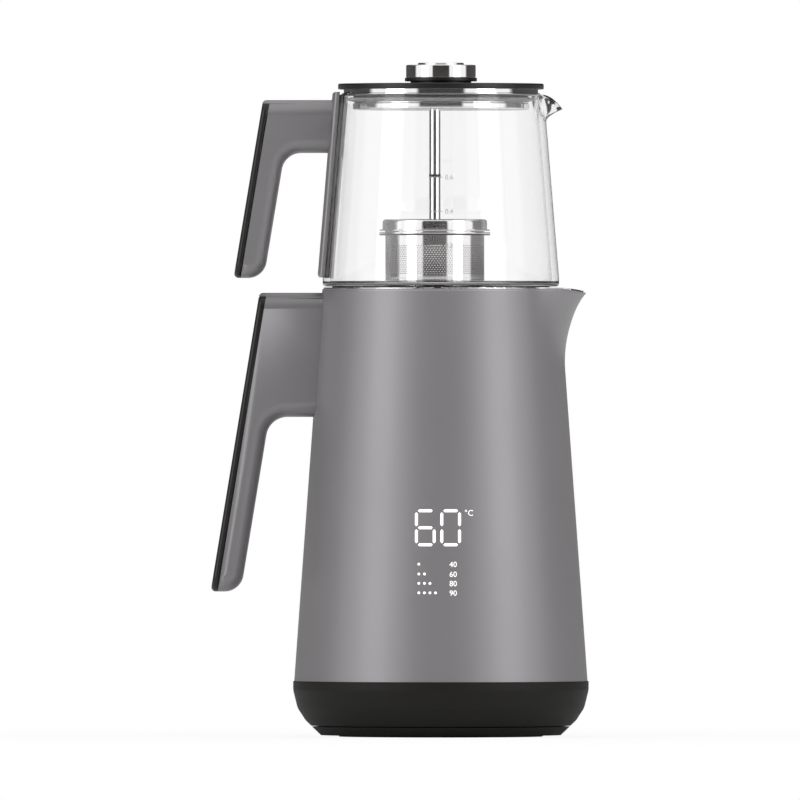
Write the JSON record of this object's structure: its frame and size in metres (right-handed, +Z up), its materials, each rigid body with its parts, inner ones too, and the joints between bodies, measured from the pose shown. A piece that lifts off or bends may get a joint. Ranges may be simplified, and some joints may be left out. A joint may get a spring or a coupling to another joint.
{
  "type": "electric tea maker",
  "caption": "Two-tier electric tea maker: glass teapot with hanging infuser on a tapered kettle with digital display and lift-off power base.",
  "frame": {"origin": "kettle axis at the surface that the foot ring stands on", "axes": "+Z up, display faces -Y, handles at -X, spouts at +X"},
  "size_m": [0.2112, 0.1654, 0.3772],
  "materials": {
    "grey_shell": "satin metallic paint",
    "black_plastic": "fine matt",
    "dark_trim": "satin black",
    "silicone": "matt",
    "steel": "brushed",
    "polished": "mirror polished",
    "brass": "bright",
    "aluminium": "cast",
    "glass": "clear",
    "board": "lacquered"
  },
  "bodies": {
    "power_base": {"base_shell": "black_plastic", "base_bottom_cover": "black_plastic", "foot_ring": "silicone", "base_screws": "steel"},
    "connector": {"connector_tower": "black_plastic", "tower_contacts": "brass"},
    "kettle": {"outer_shell": "grey_shell", "inner_tank": "steel", "mouth_ring": "polished", "base_skirt": "black_plastic", "underside_cover": "black_plastic", "coupler_socket": "black_plastic", "heater_plate": "aluminium", "heating_element": "steel", "temperature_probe": "steel", "control_board": "board", "display_module": "dark_trim", "lower_handle": "grey_shell", "lower_handle_strip": "dark_trim", "handle_bracket": "steel", "handle_screws": "steel", "button_switch": "dark_trim", "button_spring": "steel"},
    "button": {"power_button": "dark_trim"},
    "teapot": {"glass_jug": "glass", "base_gasket": "silicone", "strap_pad": "silicone", "handle_strap": "grey_shell", "upper_handle": "grey_shell", "upper_handle_strip": "dark_trim", "strap_screws": "steel"},
    "lid": {"lid_plate": "dark_trim", "lid_insert": "polished", "lid_seal": "silicone", "knob_base": "dark_trim", "knob": "polished", "knob_screw": "steel", "rod_upper": "polished", "rod_lower": "polished", "infuser_cap": "steel"},
    "basket": {"infuser_basket": "steel"}
  },
  "joints": [
    {"name": "base_swivel", "type": "hinge", "parent": "power_base", "child": "connector", "pos_m": [0, 0, 0.01], "axis": [0, 0, 1], "continuous": true},
    {"name": "kettle_lift", "type": "slide", "parent": "connector", "child": "kettle", "axis": [0, 0, 1], "range_m": [0, 0.04]},
    {"name": "button_press", "type": "slide", "parent": "kettle", "child": "button", "axis": [0.9869, 0, -0.1615], "range_m": [0, 0.0012], "stiffness_N_per_m": 500, "springref_m": -0.001, "deforming": ["button_spring"]},
    {"name": "teapot_lift", "type": "slide", "parent": "kettle", "child": "teapot", "axis": [0, 0, 1], "range_m": [0, 0.06]},
    {"name": "lid_lift", "type": "slide", "parent": "teapot", "child": "lid", "axis": [0, 0, 1], "range_m": [0, 0.115]},
    {"name": "basket_twist", "type": "hinge", "parent": "lid", "child": "basket", "pos_m": [-0.0034, 0, 0.27], "axis": [0, 0, 1], "range_deg": [0, 30]}
  ]
}
